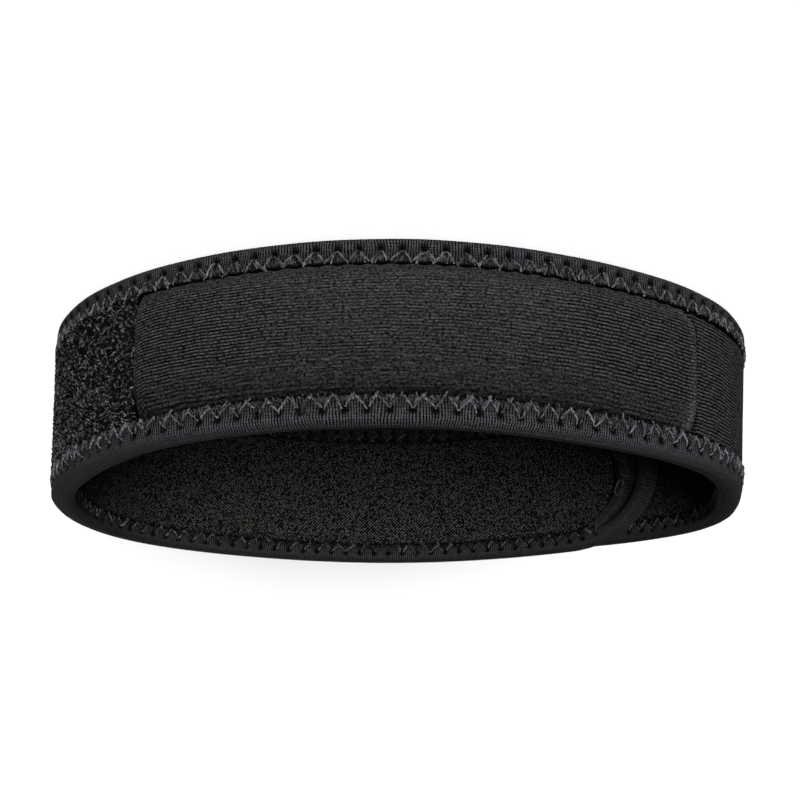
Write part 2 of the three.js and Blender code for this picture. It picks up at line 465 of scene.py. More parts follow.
@dataclass(frozen=True)
class Pattern:
    """Nodes that draw a cloth's pattern on the Cloth map, whose unit is one millimetre."""

    tree: bpy.types.NodeTree

    def axes(self) -> tuple[Socket, Socket]:
        """Distance along the cloth and across it, in millimetres.

        Returns:
            Both distances.
        """
        place = add_node(self.tree, "ShaderNodeUVMap", uv_map="Cloth")
        split = add_node(self.tree, "ShaderNodeSeparateXYZ", {0: place.outputs[0]})
        return split.outputs[0], split.outputs[1]

    def math(self, operation: str, *values: float | Socket) -> Socket:
        """Result of one math node."""
        inputs = dict(enumerate(values))
        return add_node(self.tree, "ShaderNodeMath", inputs, operation=operation).outputs[0]

    def wave(self, axis: Socket, pitch: float) -> Socket:
        """Cosine of the distance with a pitch in millimetres, from -1 to 1."""
        return self.math("COSINE", self.math("MULTIPLY", axis, 2 * np.pi / pitch))

    def noise(self, size: float) -> Socket:
        """Noise in Object coordinates with lumps of a size in millimetres, from 0 to 1.

        Args:
            size: Size of a lump.

        Returns:
            The noise.
        """
        place = add_node(self.tree, "ShaderNodeTexCoord").outputs["Object"]
        inputs = {"Vector": place, "Scale": 1 / (size * MM)}
        return add_node(self.tree, "ShaderNodeTexNoise", inputs).outputs[0]

    def fuzz(self, size: float, strength: float) -> Socket:
        """Noise about 0, with lumps of a size in millimetres."""
        return self.math("MULTIPLY_ADD", self.noise(size), strength, -0.5 * strength)

    def streaks(self, along: float, across: float, strength: float) -> Socket:
        """Noise about 0 on the cloth, with lumps of a length and a width in millimetres.

        Args:
            along: Length of a lump.
            across: Width of a lump.
            strength: Difference between the lowest and the highest value.

        Returns:
            The noise.
        """
        run, rise = self.axes()
        cell = {0: self.math("DIVIDE", run, along), 1: self.math("DIVIDE", rise, across)}
        place = add_node(self.tree, "ShaderNodeCombineXYZ", cell).outputs[0]
        inputs = {"Vector": place, "Scale": 1.0}
        noise = add_node(self.tree, "ShaderNodeTexNoise", inputs).outputs[0]
        return self.math("MULTIPLY_ADD", noise, strength, -0.5 * strength)

    def cells(self, size: float, chance: float) -> Socket:
        """Distance to the nearest dot, as a share of their spacing. They lie in slanting rows.

        Args:
            size: Spacing of the dots in millimetres.
            chance: How far they stray from their rows, from 0 to 1.

        Returns:
            The distance.
        """
        run, rise = self.axes()
        cell = {0: self.math("ADD", run, rise), 1: self.math("SUBTRACT", run, rise)}
        place = add_node(self.tree, "ShaderNodeCombineXYZ", cell).outputs[0]
        inputs = {"Vector": place, "Scale": 0.71 / size, "Randomness": chance}
        return add_node(self.tree, "ShaderNodeTexVoronoi", inputs).outputs["Distance"]

    def painted_shade_and_tone(self) -> Socket:
        """Painted shade in seams, holes and grooves, and random tone, as the mesh holds them."""
        name = {"attribute_name": "painted_shade_and_tone", "attribute_type": "GEOMETRY"}
        return add_node(self.tree, "ShaderNodeAttribute", **name).outputs["Fac"]

    def mix(self, factor: Socket, first: Shade, second: Shade) -> Socket:
        """Mix of two colours, with the factor held between 0 and 1."""
        node = add_node(self.tree, "ShaderNodeMix", {0: factor, 6: first, 7: second}, data_type="RGBA")
        return node.outputs[2]


@dataclass(frozen=True)
class Cloth:
    """What every fabric of the strap shares: a dark and a light shade, and its gloss.

    The gain is how sharply the pattern's height turns one shade into the other, and the relief is the
    depth of the pattern in millimetres.
    """

    name: str
    dark: str
    light: str
    roughness: float
    gain: float = 1.0
    relief: float = 0.05
    specular: float = 0.2
    # Near-black colour for the painted shade in seams, holes and grooves.
    pit: str = "#010101"

    def height(self, draw: Pattern) -> Socket:
        """Height of the cloth's pattern, about 0 to 1."""
        return draw.noise(0.4)

    def material(self) -> bpy.types.Material:
        """Builds the material: the pattern's height mixes the two shades and drives the bump.

        Returns:
            The new material.
        """
        made = bpy.data.materials.new(self.name)
        made.use_nodes = True
        tree = made.node_tree
        tree.nodes.clear()
        draw = Pattern(tree)
        height = self.height(draw)
        shade = draw.math("MULTIPLY_ADD", height, self.gain, 0.5 - 0.5 * self.gain)
        yarn = draw.mix(shade, linear(self.dark), linear(self.light))
        # Painted shade: the mesh's darkness mixes the yarn towards the near-black colour.
        colour = draw.mix(draw.painted_shade_and_tone(), yarn, linear(self.pit))
        bump = add_node(tree, "ShaderNodeBump", {"Height": height, "Distance": self.relief * MM})
        surface = {
            "Base Color": colour,
            "Roughness": self.roughness,
            "Specular IOR Level": self.specular,
            "Normal": bump.outputs[0],
        }
        shader = add_node(tree, "ShaderNodeBsdfPrincipled", surface)
        add_node(tree, "ShaderNodeOutputMaterial", {"Surface": shader.outputs[0]})
        return made


@dataclass(frozen=True)
class RibbedTape(Cloth):
    """Woven polyester binding tape: fine ribs across it, crossed by fainter picks."""

    rib: float = 0.5
    pick: float = 0.55

    def height(self, draw: Pattern) -> Socket:
        """Ribs that wander along the tape, picks across it, and fuzz.

        Args:
            draw: The nodes of this material.

        Returns:
            The height.
        """
        along, across = draw.axes()
        wander = draw.math("MULTIPLY_ADD", draw.noise(4.0), 1.2, along)
        ribs = draw.math("MULTIPLY_ADD", draw.wave(wander, self.rib), 0.34, 0.5)
        weave = draw.math("MULTIPLY_ADD", draw.wave(across, self.pick), 0.12, ribs)
        return draw.math("ADD", weave, draw.fuzz(0.45, 1.2))


@dataclass(frozen=True)
class JerseyKnit(Cloth):
    """Smooth warp knit: courses of small loops that read as short streaks. Its ribs are in the mesh."""

    streak_length: float = 0.5
    streak_width: float = 0.38

    def height(self, draw: Pattern) -> Socket:
        """Short streaks along the cloth, and fuzz."""
        streaks = draw.math("ADD", draw.streaks(self.streak_length, self.streak_width, 1.0), 0.5)
        return draw.math("ADD", streaks, draw.fuzz(0.35, 0.7))


@dataclass(frozen=True)
class PiqueMesh(Cloth):
    """Moisture-wicking pique lining: staggered dots between small hollows."""

    spacing: float = 0.55
    chance: float = 0.4

    def height(self, draw: Pattern) -> Socket:
        """Uneven dots, which fall off with the distance to the nearest one, and fuzz."""
        dots = draw.math("MULTIPLY_ADD", draw.cells(self.spacing, self.chance), -2.4, 1.35)
        return draw.math("ADD", dots, draw.fuzz(0.7, 0.9))


@dataclass(frozen=True)
class LoopPile(Cloth):
    """Brushed nylon loop: a tangle of fine yarn."""

    tangle: float = 0.6

    def height(self, draw: Pattern) -> Socket:
        """Strong fuzz about the middle height."""
        return draw.math("ADD", draw.fuzz(self.tangle, 2.0), 0.5)


@dataclass(frozen=True)
class SewingThread(Cloth):
    """Textured polyester thread: plies that show as slanting bands."""

    ply: float = 0.5

    def height(self, draw: Pattern) -> Socket:
        """Plies that wind round the thread, under fuzz.

        Args:
            draw: The nodes of this material.

        Returns:
            The height.
        """
        along, around = draw.axes()
        ply = draw.math("MULTIPLY_ADD", draw.wave(draw.math("ADD", along, around), self.ply), 0.2, 0.5)
        return draw.math("ADD", ply, draw.fuzz(0.5, 1.6))


# A dark body that shows only through the gaps between the fabrics.
NEOPRENE = Cloth("Foamed neoprene", "#030303", "#0c0c0d", 0.85)
# Fine grey ribs on black, without gloss, as all of the outer fabrics.
TAPE = RibbedTape("Ribbed polyester tape", "#010101", "#212123", 0.8, gain=3.0, relief=0.1, specular=0.01)
# The lightest thing on the strap: grey strokes with a faint glint.
THREAD = SewingThread("Textured polyester thread", "#080809", "#444447", 0.6, gain=1.6, specular=0.03)
# The pile's black ground, painted darker than the loops' yarn as shade for the depth between the loops.
PILE_GROUND = LoopPile("Loop pile ground", "#010101", "#0a0a0b", 0.9, relief=0.3, specular=0.0)
# Light and dark specks of curled yarn.
PILE_YARN = LoopPile("Brushed nylon loops", "#020202", "#3b3b3e", 0.7, gain=2.0, specular=0.01)
# Soft charcoal with short dark dashes between the ribs.
KNIT = JerseyKnit("Jersey knit", "#020202", "#2c2c2e", 0.85, gain=2.4, relief=0.06, specular=0.0)
# Paler grey than the fabrics, and hidden.
FOAM = Cloth("Cut foam", "#161617", "#2e2e30", 0.9)
# Greenish grey dots on black.
LINING = PiqueMesh("Pique lining", "#020202", "#252724", 0.85, gain=1.8, relief=0.2, specular=0.0)
# Slightly glossy black, hidden in the overlap.
HOOKS = Cloth("Moulded nylon hooks", "#070708", "#202021", 0.5, relief=0.2)
# Even white ground for the shadow.
CARD = Cloth("Matt white card", "#f6f6f6", "#fcfcfc", 0.95, relief=0.0, specular=0.0)


def level(depth: float) -> Surface:
    """Face of a sheet that lies at one depth all over.

    Args:
        depth: Distance outwards from mid-thickness.

    Returns:
        The face as a function of place.
    """

    def face(along: Array, height: Array, v: Array) -> Array:
        """The same depth at every place."""
        return np.full(along.shape, depth)

    return face


@dataclass
class Panel:
    """A sheet of fabric between the arms of the binding, from rim to rim.

    Its shown face is a grid of distance along the strap and share of the height. The grid follows
    the rounded end where the sheet runs to one, and is finer beside the places listed.
    """

    loop: StrapLoop
    face: Face
    start: float | None
    stop: float | None
    rim_inset: float
    inner_end_inset: float
    base: float
    step: float = 1.5
    rows: int = 24
    fine: tuple[float, ...] = ()
    fine_reach: float = 4.0
    fine_step: float = 0.35
    least_step: float = 0.1
    under_stride: int = 8

    def stations(self) -> tuple[Array, Array, Array]:
        """Centre, reach and share of the height for each ring of the sheet.

        Rings follow at the step, closer beside the places listed, and by angle round an end.

        Returns:
            Three arrays, each with one value for a ring.
        """
        loop = self.loop
        first = loop.end_length if self.start is None else self.start
        last = loop.length - loop.end_length if self.stop is None else self.stop
        span = self.fine_reach
        near = [np.arange(place - span, place + span, self.fine_step) for place in self.fine]
        centre = np.concatenate([np.arange(first, last, self.step), *near])
        clear = 2 * self.least_step
        centre = np.sort(centre[(centre > first + clear) & (centre < last - clear)])
        centre = centre[np.diff(centre, prepend=first) > self.least_step]
        centre = np.concatenate([[first], centre, [last]])
        reach, share = np.zeros(centre.shape), np.ones(centre.shape)
        arc = np.radians(np.linspace(4, 90, 22))[:-1]
        if self.start is None:
            centre = np.concatenate([np.full(arc.shape, loop.end_length), centre])
            reach, share = np.concatenate([-np.cos(arc), reach]), np.concatenate([np.sin(arc), share])
        if self.stop is None:
            back = arc[::-1]
            centre = np.concatenate([centre, np.full(arc.shape, loop.length - loop.end_length)])
            reach, share = np.concatenate([reach, np.cos(back)]), np.concatenate([share, np.sin(back)])
        return centre, reach, share

    def grid(self) -> tuple[Array, Array, Array]:
        """Distance along, height and share of the height over the shown face.

        Returns:
            Three arrays of shape (rings, rows).
        """
        centre, reach, share = self.stations()
        end_inset = np.where(reach < 0, self.rim_inset, self.inner_end_inset)
        along = centre + reach * (self.loop.end_length - end_inset)
        half = share * (self.loop.half_height(centre) - self.rim_inset)
        v = np.linspace(-1, 1, self.rows)
        height = self.loop.middle + v * half[:, None]
        along, v = np.broadcast_arrays(along[:, None], v)
        return along, height, v

    def from_edge(self, height: Array, v: Array) -> Array:
        """Distance from the sheet's nearer long edge."""
        return (1 - np.abs(v)) * np.abs(height[:, -1:] - self.loop.middle)

    def build(self, name: str, depth: Surface, painted_shade_and_tone: Surface | None = None) -> Piece:
        """Builds the closed sheet.

        Args:
            name: Name of the piece.
            depth: Gives the shown face's depth from distance along, height and share of the height.
            painted_shade_and_tone: Gives the painted shade and tone at each place, besides the painted
                shade of the seams at the rims.

        Returns:
            The new object.
        """
        along, height, v = self.grid()
        sign = self.face.value
        shown = self.loop.wall(along, height, sign * depth(along, height, v))
        under = np.s_[:, :: self.under_stride]
        hidden = self.loop.wall(along[under], height[under], sign * self.base)
        # Painted shade along the seams at the rims; the hidden side and the cut edges are painted fully
        # dark.
        groove = 0.95 * ease(0.75, 0.1, self.from_edge(height, v))
        if painted_shade_and_tone is not None:
            groove = np.maximum(groove, painted_shade_and_tone(along, height, v))
        cloth = np.stack([along, height], axis=-1)
        front, back = (shown, cloth, groove), (hidden, cloth[under], np.ones(hidden.shape[:2]))
        outer, inner = (back, front) if self.face is Face.INNER else (front, back)
        rings, uv, dark = (np.concatenate([o, i[:, ::-1]], axis=1) for o, i in zip(outer, inner))
        uv = np.concatenate([uv, uv[:, :1]], axis=1)
        return lofted(name, rings, uv, dark)


@dataclass
class Pad:
    """The front pad: how far its cover rises over the flat knit, and the ribs of the knit."""

    loop: StrapLoop
    to_pile: float = 48.0
    to_plain: float = 63.0
    rise: float = 3.2
    shoulder: float = 2.4
    lip: float = 5.7
    rest_corner: float = 3.4
    far_corner: float = 0.7
    crown_power: float = 4.5
    ridge_rise: float = 0.3
    ridge_width: float = 0.8
    valley_depth: float = 0.3
    valley_back: float = 2.1
    valley_width: float = 0.7
    rib_height: float = 0.12
    rib_sag: float = 0.9
    fine_rib: float = 0.6
    coarse_rib: float = 0.69
    foam_inset: float = 1.6
    foam_start: float = 7.0
    foam_stop: float = 3.2

    @property
    def start(self) -> float:
        """Where the soft edge beside the plain knit begins."""
        return self.loop.along(self.loop.front_bearing) - self.to_plain

    @property
    def stop(self) -> float:
        """Where the edge beside the pile ends."""
        return self.loop.along(self.loop.front_bearing) + self.to_pile

    def past_lip(self, along: Array, share: Array) -> Array:
        """Distance past the step beside the plain knit, whose line turns in at the resting rim."""
        corner = self.rest_corner * ease(0.62, 1.0, -share) ** 2 + self.far_corner * ease(0.7, 1.0, share)
        return along - self.start - self.lip - corner

    def height(self, along: Array, share: Array) -> Array:
        """Rise of the cover: a small step, a long slope to the crown, and a round shoulder.

        Args:
            along: Distance along the strap.
            share: Share of the height, from -1 on the lower rim to 1 on the upper one.

        Returns:
            The rise over the flat knit, 0 beyond the pad.
        """
        into = self.past_lip(along, share)
        step = 0.4 * ease(-1.7, -0.2, into) + 0.6 * ease(-1.5, 30, into)
        ridge = self.ridge_rise * bell(into - 0.2, self.ridge_width)
        left = np.clip(1 - (self.stop - along) / self.shoulder, 0, 1)
        crown = 1 - np.abs(share) ** self.crown_power
        rise = (self.rise * step + ridge) * np.sqrt(1 - left**2) * crown
        return np.where(along > self.start, rise, 0.0)

    def dip(self, along: Array, share: Array) -> Array:
        """Shallow valley beside the step, from 0 to 1."""
        return bell(self.past_lip(along, share) + self.valley_back, self.valley_width)

    def ribs(self, along: Array, height: Array) -> Array:
        """Cosine of the knit's ribs, which stand wider apart towards the plain side.

        Args:
            along: Distance along the strap.
            height: Height over the lower rim.

        Returns:
            The cosine, 1 on a rib and -1 between two.
        """
        spread = ease(self.stop - 42, self.start + 26, along)
        pitch = self.fine_rib + (self.coarse_rib - self.fine_rib) * spread
        sag = self.rib_sag * bell(self.stop - along, 2.2)
        return np.cos(2 * np.pi * (height - self.loop.middle - sag) / pitch)

    def rib_strength(self, along: Array, share: Array) -> Array:
        """How plainly the ribs show, from 0 to 1: most at both ends of the pad and beyond it.

        Args:
            along: Distance along the strap.
            share: Share of the height, from -1 on the lower rim to 1 on the upper one.

        Returns:
            The strength.
        """
        pile_end = ease(self.stop - 36, self.stop - 9, along)
        plain_end = ease(self.start + 46, self.start + 14, along)
        ends = np.maximum(pile_end, plain_end)
        padded = ease(self.start + 2, self.start + 9, along)
        low = 1 - 0.75 * padded * ease(0.35, 0.7, share)
        high = 1 - 0.6 * padded * ease(-0.62, -0.85, share)
        return (0.3 + 0.7 * ends) * low * high


@dataclass
class Binding:
    """The folded tape that is sewn over both long edges and both rounded ends.

    Its mesh has points at shares of a stitch along the rim, and at shares of the roll and of each arm
    across it, closest where the needle holes are.
    """

    loop: StrapLoop
    rim: Rim
    pitch: float = 3.65
    outer_hole: float = 2.35
    inner_hole: float = 1.9
    hole_size: float = 0.62
    roll: float = 1.5
    scallop: float = 0.14
    squareness: float = 2.3
    rim_flat: float = 0.36
    waver_length: float = 17.0
    waver_rise: float = 0.05
    near_groove: float = 4.3
    far_groove: float = 10.2
    groove_depth: float = 0.8
    # Painted shade laid over the whole inner face of the tape.
    inner_face_painted_shade: float = 0.4
    stitch_places: tuple[float, ...] = (-0.5, -0.32, -0.18, -0.08, 0, 0.08, 0.18, 0.32)
    roll_places: tuple[float, ...] = (0.0, 0.04, 0.18, 0.4, 0.7)
    arm_places: tuple[float, ...] = (
        0, 0.06, 0.15, 0.22, 0.29, 0.36, 0.46, 0.57, 0.68, 0.79, 0.86, 0.93, 1.0
    )

    def arm(self, face: Face, reach: Array) -> tuple[float, Array]:
        """Width of the tape's arm on a face, from the rim and from the end.

        Args:
            face: Face of the strap.
            reach: Reach along the end arc, from -1 at the outer end to 1 at the inner end.

        Returns:
            Both widths.
        """
        lam = self.loop.laminate
        if face is Face.OUTER:
            return lam.outer_arm, np.full(np.shape(reach), lam.outer_arm)
        return lam.inner_arm, np.where(reach > 0, lam.end_arm, lam.inner_arm)

    def true_pitch(self) -> float:
        """Distance between stitches that fits a whole number of them round the rim."""
        return self.rim.length / round(self.rim.length / self.pitch)

    def phase(self, run: Array) -> Array:
        """Distance to the nearest needle hole, along the rim."""
        pitch = self.true_pitch()
        return (np.mod(run / pitch + 0.5, 1.0) - 0.5) * pitch

    def hole(self, face: Face) -> float:
        """Inset of the needle holes on a face."""
        return self.outer_hole if face is Face.OUTER else self.inner_hole

    def painted_shade_and_tone(self, face: Face, run: Array, inset: Array, width: Array) -> Array:
        """Painted shade on the tape's face: the needle holes, the wedge over each, where neighbouring
        arms meet, the free edge, and the sewn arm, most on the inner face.

        Args:
            face: Face of the strap.
            run: Distance round the rim.
            inset: Distance in from the rim.
            width: Width of the tape's arm there.

        Returns:
            The darkness, from 0 to 1.
        """
        d = self.phase(run)
        up = inset - self.hole(face)
        hole = bell(np.hypot(d * 0.9, up * 0.75), self.hole_size)
        wedge = 0.95 * bell(d, 0.2 + 0.5 * np.clip(up, 0, 1)) * ease(-0.1, 0.2, up) * ease(1.9, 1.0, up)
        pinch = 0.65 * bell(np.abs(d) - self.pitch / 2, 0.3) * ease(0.5, 1.4, up)
        edge = ease(0.4, 0.1, width - inset)
        sewn = (0.4 if face is Face.OUTER else 0.6) * ease(-0.2, 0.6, up)
        return np.maximum.reduce([np.minimum(hole * 1.6, 1), wedge, pinch, edge, sewn])

    def surface(self, face: Face, run: Array, inset: Array, width: Array) -> Array:
        """Depth of the tape's face: pressed down at the seam and the holes, puffed up between.

        Args:
            face: Face of the strap.
            run: Distance round the rim.
            inset: Distance in from the rim.
            width: Width of the tape's arm there.

        Returns:
            The distance outwards from mid-thickness.
        """
        d = self.phase(run)
        up = inset - self.hole(face)
        span = np.clip(up / np.maximum(width - self.hole(face), 0.5), 0, 1)
        pit = 0.85 * bell(np.hypot(d, up), 0.48)
        arms = 0.2 * bell(np.abs(d) - span * self.pitch * 0.45, 0.3) * ease(-0.2, 0.4, up)
        edge = 0.35 * ease(0.5, 0.0, width - inset)
        line = 0.12 * bell(up, 0.5)
        return self.loop.laminate.half + 0.14 * np.sin(np.pi * span) - pit - edge - line - arms

    def sewn(self, face: Face, reach: Array) -> Array:
        """Where the zigzag runs: all round, apart from the wide tape inside the inner end."""
        return np.ones(np.shape(reach)) if face is Face.OUTER else ease(0.5, 0.3, reach)

    def end_grooves(self, face: Face, inset: Array, reach: Array) -> Array:
        """The two sewn grooves across the wide tape at the inner end, from 0 to 1.

        Args:
            face: Face of the strap.
            inset: Distance in from the rim.
            reach: Reach along the end arc, from -1 at the outer end to 1 at the inner end.

        Returns:
            The depth of the grooves as a share.
        """
        if face is Face.OUTER:
            return np.zeros(np.broadcast(inset, reach).shape)
        near, far = bell(inset - self.near_groove, 0.8), bell(inset - self.far_groove, 1.0)
        return ease(0.25, 0.8, reach) * np.maximum(near, far)

    def half_section(self, face: Face, run: Array, reach: Array) -> list[Array]:
        """Section of the tape over one face, from the rim to its free edge and down to the bed.

        The roll over the rim is a superellipse: its depth is half the thickness times the nth root of
        1 - u^n, where u is the share of the roll still to go and n the squareness. A narrow flat is
        left under the rim.

        Args:
            face: Face of the strap.
            run: Distance round the rim, shape (run, 1).
            reach: Reach along the end arc, from -1 at the outer end to 1 at the inner end.

        Returns:
            Inset from the rim, inset from the end, depth and painted shade, each of shape (run, places).
        """
        lam = self.loop.laminate
        turn, share = np.array(self.roll_places), np.array(self.arm_places)
        bulge = (1 - (1 - turn) ** self.squareness) ** (1 / self.squareness)
        shape = np.broadcast(run, turn).shape
        wave = self.scallop * np.cos(2 * np.pi * self.phase(run) / self.pitch)
        rim_arm, end_arm = self.arm(face, reach)
        blend = np.abs(reach)
        width = end_arm * blend + rim_arm * (1 - blend) + wave
        at = self.roll + share * (width - self.roll)
        groove = self.end_grooves(face, at, reach)
        flat = lam.half + self.waver_rise * np.cos(2 * np.pi * run / self.waver_length)
        stitched = self.surface(face, run, at, width) - flat
        depth = flat + stitched * self.sewn(face, reach) - self.groove_depth * groove
        roll_depth = np.broadcast_to(np.maximum(bulge, self.rim_flat) * (flat - 0.04), shape)
        rolled = np.broadcast_to(turn * self.roll, shape)
        bed, hem = np.full((len(run), 2), lam.bed), np.full((len(run), 1), lam.tape)
        insets = [self.roll + share * (arm + wave - self.roll) for arm in (rim_arm, end_arm)]
        section = [np.concatenate([rolled, inset, inset[:, -1:], hem], axis=1) for inset in insets]
        section.append(face.value * np.concatenate([roll_depth, depth, bed], axis=1))
        # Painted shade: dark in the holes and the grooves, darker all over the inner face, fully dark
        # under the tape.
        dark = np.maximum(self.painted_shade_and_tone(face, run, at, width) * self.sewn(face, reach), 0.98 * groove)
        base_painted_shade = 0.0 if face is Face.OUTER else self.inner_face_painted_shade
        shades = [np.full(shape, base_painted_shade), np.maximum(dark, base_painted_shade), np.ones(bed.shape)]
        return [*section, np.concatenate(shades, axis=1)]

    def profile(self, run: Array, reach: Array) -> tuple[Array, ...]:
        """Section of the tape, from the rim over the outer face, and from the inner face back to it.

        Args:
            run: Distance round the rim.
            reach: Reach along the end arc, from -1 at the outer end to 1 at the inner end.

        Returns:
            Inset from the rim, inset from the end, depth and painted shade, each of shape (run, section).
        """
        outer, inner = (self.half_section(face, run[:, None], reach[:, None]) for face in Face)
        return tuple(np.concatenate([o, i[:, ::-1]], axis=1) for o, i in zip(outer, inner))

    def build(self) -> Piece:
        """Builds the tape as one closed ring of sections round the whole rim.

        Returns:
            The new object.
        """
        count = round(self.rim.length / self.pitch)
        stitches = np.arange(count)[:, None] + np.array(self.stitch_places)
        run = (stitches * self.true_pitch()).ravel()
        centre, reach, side = self.rim.at(run)
        in_rim, in_end, depth, painted_shade_and_tone = self.profile(run, reach)
        place = self.rim.place(centre[:, None], reach[:, None], side[:, None], in_rim, in_end)
        rings = self.loop.wall(*place, depth)
        across = np.concatenate([[0.0], np.cumsum(np.hypot(np.diff(in_rim[0]), np.diff(depth[0])))])
        across = np.append(across, across[-1] + 1.0)
        run = np.append(run, run[0] + self.rim.length)
        uv = np.stack(np.broadcast_arrays(run[:, None], across[None, :]), axis=-1)
        return lofted("edge_binding_tape", rings, uv, painted_shade_and_tone, closed=True)


@dataclass(frozen=True)
class Strand:
    """One stroke of the zigzag: sideways share of the pitch and inset share of the arm at both ends."""

    start: tuple[float, float]
    stop: tuple[float, float]
    width: float = 1.0
    # Painted shade of the stroke, from 0 to 1.
    thread_painted_shade_and_tone: float = 0.0


ZIGZAG = (
    Strand((-0.05, 0.14), (-0.46, 1.0), 1.1),
    Strand((-0.12, 0.3), (-0.37, 0.98), 0.9, 0.35),
    Strand((0.05, 0.14), (0.46, 1.0), 1.1, 0.15),
    Strand((0.12, 0.3), (0.37, 0.98), 0.9, 0.45),
    Strand((-0.1, 0.6), (-0.24, 0.98), 0.8, 0.6),
    Strand((-0.02, 0.66), (-0.08, 1.0), 0.8, 0.55),
    Strand((0.04, 0.66), (0.1, 0.98), 0.8, 0.65),
    Strand((0.12, 0.6), (0.25, 1.0), 0.8, 0.55),
    Strand((0.44, 0.86), (0.51, 1.14), 1.2),
    Strand((-0.34, 0.72), (-0.2, 0.5), 0.7, 0.4),
    Strand((0.33, 0.8), (0.2, 0.52), 0.7, 0.3),
    Strand((-0.05, 0.9), (0.13, 0.84), 0.7, 0.35),
)


@dataclass
class Stitching:
    """The zigzag that holds the tape, on one face."""

    loop: StrapLoop
    binding: Binding
    face: Face
    thread: float = 0.15
    # Painted shade added to every thread on the inner face.
    inner_thread_painted_shade: float = 0.42
    jitter: float = 0.11
    seed: int = 7

    def lay(self, run: Array, inset: Array, lift: Array) -> Array:
        """Points in metres on the tape at distances round the rim and insets from it.

        Args:
            run: Distance round the rim.
            inset: Distance in from the rim.
            lift: Height over the tape.

        Returns:
            The points, with a last axis of 3.
        """
        centre, reach, side = self.binding.rim.at(run)
        rim_arm, _ = self.binding.arm(self.face, reach)
        place = self.binding.rim.place(centre, reach, side, inset, inset)
        depth = self.binding.surface(self.face, run, np.minimum(inset, rim_arm - 0.5), rim_arm)
        return self.loop.wall(*place, self.face.value * (depth + lift))

    def build(self, name: str) -> Piece:
        """Lays every stroke of every stitch on the tape, as a low arch.

        Args:
            name: Name of the piece.

        Returns:
            The new object.
        """
        rng = np.random.default_rng(self.seed)
        pitch = self.binding.true_pitch()
        holes = np.arange(round(self.binding.rim.length / pitch))
        _, reach, _ = self.binding.rim.at(holes * pitch)
        holes = holes[self.binding.sewn(self.face, reach) > 0.5]
        count = len(holes)
        hole = self.binding.hole(self.face)
        t = np.linspace(0, 1, 5)
        arm, _ = self.binding.arm(self.face, reach)
        lines, radii, painted_thread_shades_and_tones = [], [], []
        for strand in ZIGZAG:
            shake = rng.normal(0, self.jitter, (4, count, 1))
            u = (strand.start[0] + shake[0] * 0.5) * (1 - t) + (strand.stop[0] + shake[1]) * t
            v = (strand.start[1] + shake[3] * 0.7) * (1 - t) + (strand.stop[1] + shake[2] * 0.8) * t
            run = (holes[:, None] + u) * pitch
            inset = hole + v * (arm - hole)
            lift = self.thread * (0.1 + 0.9 * np.sin(np.pi * t))
            lines.append(self.lay(run, inset, lift))
            radii.append(self.thread * strand.width * rng.uniform(0.65, 1.25, count))
            # Painted shade and tone: the stroke's own shade, the inner face's shade and a random part.
            thread_painted_shade_and_tone = strand.thread_painted_shade_and_tone + (0.0 if self.face is Face.OUTER else self.inner_thread_painted_shade)
            painted_thread_shades_and_tones.append(np.clip(thread_painted_shade_and_tone + rng.uniform(-0.2, 0.5, count), 0, 1))
        return strands(name, np.concatenate(lines), np.concatenate(radii) * MM, np.concatenate(painted_thread_shades_and_tones))


@dataclass
class EndLoops:
    """Long uneven loops of thread on the wide tape inside the inner end."""

    loop: StrapLoop
    binding: Binding
    inset: float = 7.1
    half_width: float = 1.1
    half_length: float = 2.7
    pitch: float = 6.1
    thread: float = 0.17
    seed: int = 5

    def build(self) -> Piece:
        """Lays a chain of slanting ovals, each as two open halves, along the end's arc.

        Returns:
            The new object.
        """
        rng = np.random.default_rng(self.seed)
        rim = self.binding.rim
        end = np.flatnonzero(rim.reach > 0.75)
        first, last = rim.lengths[end[0]], rim.lengths[end[-1]]
        centres = np.arange(first, last, self.pitch)
        turn = np.linspace(0.04, 0.96, 11) * np.pi
        lines = []
        for side in (-1.0, 1.0):
            wide = rng.uniform(0.6, 1.1, (len(centres), 1))
            shake = rng.normal(0, 0.1, (len(centres), len(turn)))
            run = centres[:, None] - np.cos(turn) * self.half_length * rng.uniform(0.85, 1.1, wide.shape)
            bow = side * np.sin(turn) * self.half_width * wide + 0.3 * np.cos(turn)
            inset = self.inset + bow + shake
            centre, reach, edge = rim.at(run)
            place = rim.place(centre, reach, edge, inset, inset)
            lines.append(self.loop.wall(*place, -(self.loop.laminate.half + 0.05)))
        lines = np.concatenate(lines)
        radius = np.full(len(lines), self.thread * MM)
        # Painted shade and tone: each loop of the inner end is darkened by a random amount.
        return strands("end_loops", lines, radius, rng.uniform(0.45, 0.85, len(lines)))


